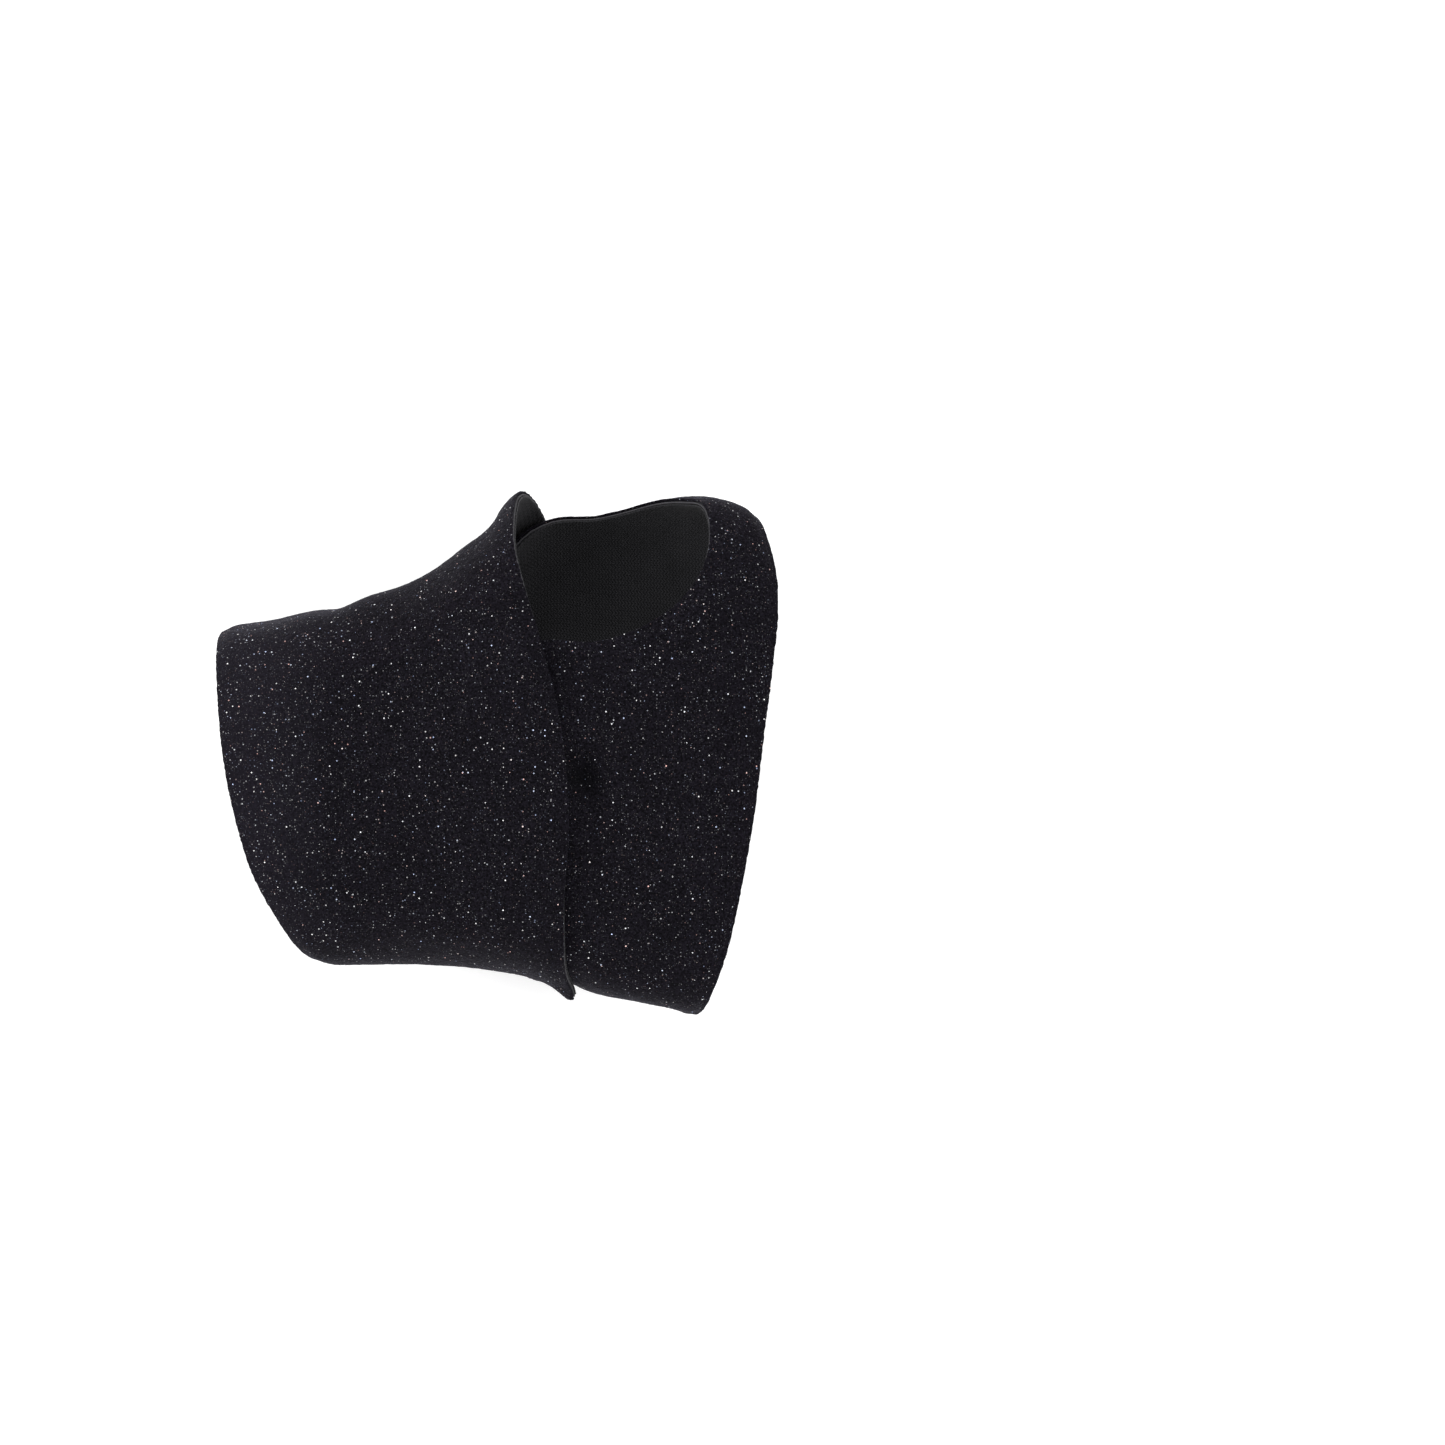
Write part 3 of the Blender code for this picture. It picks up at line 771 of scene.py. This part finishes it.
def plush_material():
    material, tree, shader = new_material("napped_loop_fabric")
    place = stored_place(tree, "rest_place")
    tone = noise(tree, place, 6.0, 4.0)
    colour = ramp(tree, tone, NAP_TONES)
    nap = noise(tree, place, 0.42, 3.0)
    shade = add_node(tree, "ShaderNodeMapRange", {"Value": nap, "From Min": 0.38, "From Max": 0.66,
                                                  "To Min": 0.0, "To Max": 1.0})
    colour = mix(tree, shade.outputs[0], NAP_GAPS, colour)
    # The painted light stored with the cloth place: painted sheen towards the wrist, painted shade
    # in the hollow beside the flap's edge.
    flat_place_and_painted_light = stored_place(tree, "cloth_place_and_painted_light")
    painted_light = add_node(tree, "ShaderNodeSeparateXYZ", {"Vector": flat_place_and_painted_light}).outputs["Z"]
    painted_sheen = maths(tree, "MAXIMUM", painted_light, 0.0)
    # Painted sheen: the nap towards the wrist painted lighter.
    colour = mix(tree, maths(tree, "MULTIPLY", painted_sheen, PAINTED_SHEEN_SHARE), colour, PAINTED_SHEEN_NAP)
    # Painted glints, more of them where the nap is painted lighter as sheen.
    for cell, radius, share, power, brightest in PAINTED_GLINTS:
        painted_glint_share = maths(tree, "ADD", share * 0.9, maths(tree, "MULTIPLY", painted_sheen, share * 0.6))
        mask, strength, tint = painted_glints(tree, place, cell, radius, painted_glint_share, power)
        glint = mix(tree, maths(tree, "MULTIPLY", strength, brightest), DULL_PAINTED_GLINT,
                    ramp(tree, tint, PAINTED_GLINT_TINTS))
        colour = mix(tree, mask, colour, glint)
    # Painted shade: the nap in the hollow beside the flap's edge painted darker.
    painted_shade = maths(tree, "MULTIPLY", maths(tree, "MINIMUM", painted_light, 0.0), -PAINTED_SHADE_SHARE)
    colour = mix(tree, painted_shade, colour, PAINTED_SHADE_NAP)
    tree.links.new(colour, shader.inputs["Base Color"])
    shader.inputs["Roughness"].default_value = 0.9
    shader.inputs["Sheen Weight"].default_value = 0.06
    shader.inputs["Sheen Roughness"].default_value = 0.3
    shader.inputs["Sheen Tint"].default_value = (0.78, 0.76, 1.0, 1)
    shader.inputs["Specular IOR Level"].default_value = 0.06
    normal = bump(tree, noise(tree, place, 1.8, 3.0), 0.22)
    tree.links.new(bump(tree, nap, 0.18, onto=normal), shader.inputs["Normal"])
    return material


def foam_material():
    material, tree, shader = new_material("cut_foam")
    place = stored_place(tree, "rest_place")
    cells = add_node(tree, "ShaderNodeTexVoronoi", {"Vector": place, "Scale": 1 / (0.16 * MM)})
    colour = ramp(tree, cells.outputs["Distance"],
                  [(0.1, (0.018, 0.0175, 0.020)), (0.7, (0.062, 0.060, 0.066))])
    tree.links.new(colour, shader.inputs["Base Color"])
    shader.inputs["Roughness"].default_value = 0.85
    shader.inputs["Specular IOR Level"].default_value = 0.2
    tree.links.new(bump(tree, cells.outputs["Distance"], 0.05), shader.inputs["Normal"])
    return material


def knit(tree, place, wale_mm, course_mm):
    """The height of a jersey's V-shaped loops, over the cloth's own directions."""
    split = add_node(tree, "ShaderNodeSeparateXYZ", {"Vector": place})
    round_way = maths(tree, "DIVIDE", split.outputs["X"], wale_mm * MM)
    along = maths(tree, "DIVIDE", split.outputs["Y"], course_mm * MM)
    across = maths(tree, "PINGPONG", round_way, 0.5)
    slanted = maths(tree, "ADD", along, maths(tree, "MULTIPLY", across, 1.4))
    course = maths(tree, "PINGPONG", slanted, 0.5)
    groove = maths(tree, "SMOOTH_MIN", across, maths(tree, "SUBTRACT", 0.5, across))
    return maths(tree, "ADD", course, maths(tree, "MULTIPLY", groove, 1.3))


def lining_material():
    material, tree, shader = new_material("jersey_lining")
    height = knit(tree, stored_place(tree, "cloth_place_and_painted_light"), 0.9, 0.65)
    tone = noise(tree, stored_place(tree, "rest_place"), 5.0, 3.0)
    light = maths(tree, "MULTIPLY", height, maths(tree, "ADD", tone, 0.5))
    colour = ramp(tree, light, [(0.1, (0.0045, 0.0045, 0.0055)), (0.9, (0.024, 0.0235, 0.027))])
    tree.links.new(colour, shader.inputs["Base Color"])
    shader.inputs["Roughness"].default_value = 0.75
    shader.inputs["Specular IOR Level"].default_value = 0.2
    shader.inputs["Sheen Weight"].default_value = 0.03
    tree.links.new(bump(tree, height, 0.2), shader.inputs["Normal"])
    return material


def tape_material():
    material, tree, shader = new_material("woven_tape")
    weave = add_node(tree, "ShaderNodeTexChecker", {"Vector": stored_place(tree, "cloth_place_and_painted_light"),
                                                    "Scale": 1 / (0.4 * MM)})
    colour = mix(tree, weave.outputs["Fac"], (0.006, 0.006, 0.0065), (0.015, 0.015, 0.016))
    tree.links.new(colour, shader.inputs["Base Color"])
    shader.inputs["Roughness"].default_value = 0.55
    shader.inputs["Specular IOR Level"].default_value = 0.3
    tree.links.new(bump(tree, weave.outputs["Fac"], 0.06), shader.inputs["Normal"])
    return material


def hook_material():
    material, tree, shader = new_material("hook_filament")
    tone = noise(tree, object_place(tree), 0.9, 2.0)
    colour = ramp(tree, tone, [(0.3, (0.008, 0.008, 0.0085)), (0.7, (0.018, 0.018, 0.019))])
    tree.links.new(colour, shader.inputs["Base Color"])
    shader.inputs["Roughness"].default_value = 0.35
    shader.inputs["Specular IOR Level"].default_value = 0.4
    return material


def thread_material():
    material, tree, shader = new_material("sewing_thread")
    twist = add_node(tree, "ShaderNodeTexWave", {"Vector": object_place(tree),
                                                 "Scale": 1 / (2.2 * MM), "Distortion": 1.0},
                     bands_direction="DIAGONAL")
    colour = ramp(tree, twist.outputs["Fac"],
                  [(0.0, (0.010, 0.010, 0.011)), (1.0, (0.035, 0.035, 0.038))])
    tree.links.new(colour, shader.inputs["Base Color"])
    shader.inputs["Roughness"].default_value = 0.5
    return material


def make_materials():
    return {
        "plush": plush_material(),
        "foam": foam_material(),
        "lining": lining_material(),
        "hook_tape": tape_material(),
        "hooks": hook_material(),
        "thread": thread_material(),
    }


# The picture: a square 289 mm wide at the brace's middle height, looking straight down.
PICTURE_WIDTH = 0.289
PICTURE_CENTRE = (0.0449, 0.0062)
PICTURE_PLANE = 0.035
CAMERA_HEIGHT = 3.0
SENSOR = 36.0


def make_camera():
    data = bpy.data.cameras.new("camera")
    data.sensor_width = SENSOR
    data.lens = SENSOR * (CAMERA_HEIGHT - PICTURE_PLANE) / PICTURE_WIDTH
    data.clip_end = 10
    camera = bpy.data.objects.new("camera", data)
    camera.location = (*PICTURE_CENTRE, CAMERA_HEIGHT)
    bpy.context.scene.collection.objects.link(camera)
    bpy.context.scene.camera = camera


def make_floor():
    bpy.ops.mesh.primitive_plane_add(size=6, location=(0, 0, -0.0003))
    floor = bpy.context.object
    floor.name = "floor"
    material, _, shader = new_material("pale_floor")
    shader.inputs["Base Color"].default_value = (0.93, 0.93, 0.93, 1)
    shader.inputs["Roughness"].default_value = 0.9
    shader.inputs["Specular IOR Level"].default_value = 0.1
    shader.inputs["Emission Color"].default_value = (1, 1, 1, 1)
    shader.inputs["Emission Strength"].default_value = 0.3
    floor.data.materials.append(material)


def area_light(name, place, size, power, aim=(0, 0, 0.02)):
    data = bpy.data.lights.new(name, "AREA")
    data.shape = "DISK"
    data.size = size
    data.energy = power
    light = bpy.data.objects.new(name, data)
    light.location = place
    light.rotation_euler = (Vector(aim) - Vector(place)).to_track_quat("-Z", "Y").to_euler()
    bpy.context.scene.collection.objects.link(light)


def make_lights():
    world = bpy.data.worlds.new("studio")
    bpy.context.scene.world = world
    world.use_nodes = True
    background = world.node_tree.nodes["Background"]
    background.inputs["Color"].default_value = (1, 1, 1, 1)
    background.inputs["Strength"].default_value = 0.8
    area_light("key", (-1.25, 0.3, 0.7), 0.8, 13)
    area_light("fill", (1.2, 0.1, 0.75), 0.8, 7)
    area_light("behind", (0.1, 1.3, 0.6), 0.8, 6)
    area_light("front", (0.0, -1.3, 0.6), 0.8, 6)


make_camera()
make_floor()
make_lights()
bpy.context.scene.view_settings.view_transform = "Standard"
MATERIALS = make_materials()
laminate()
hook_tab()
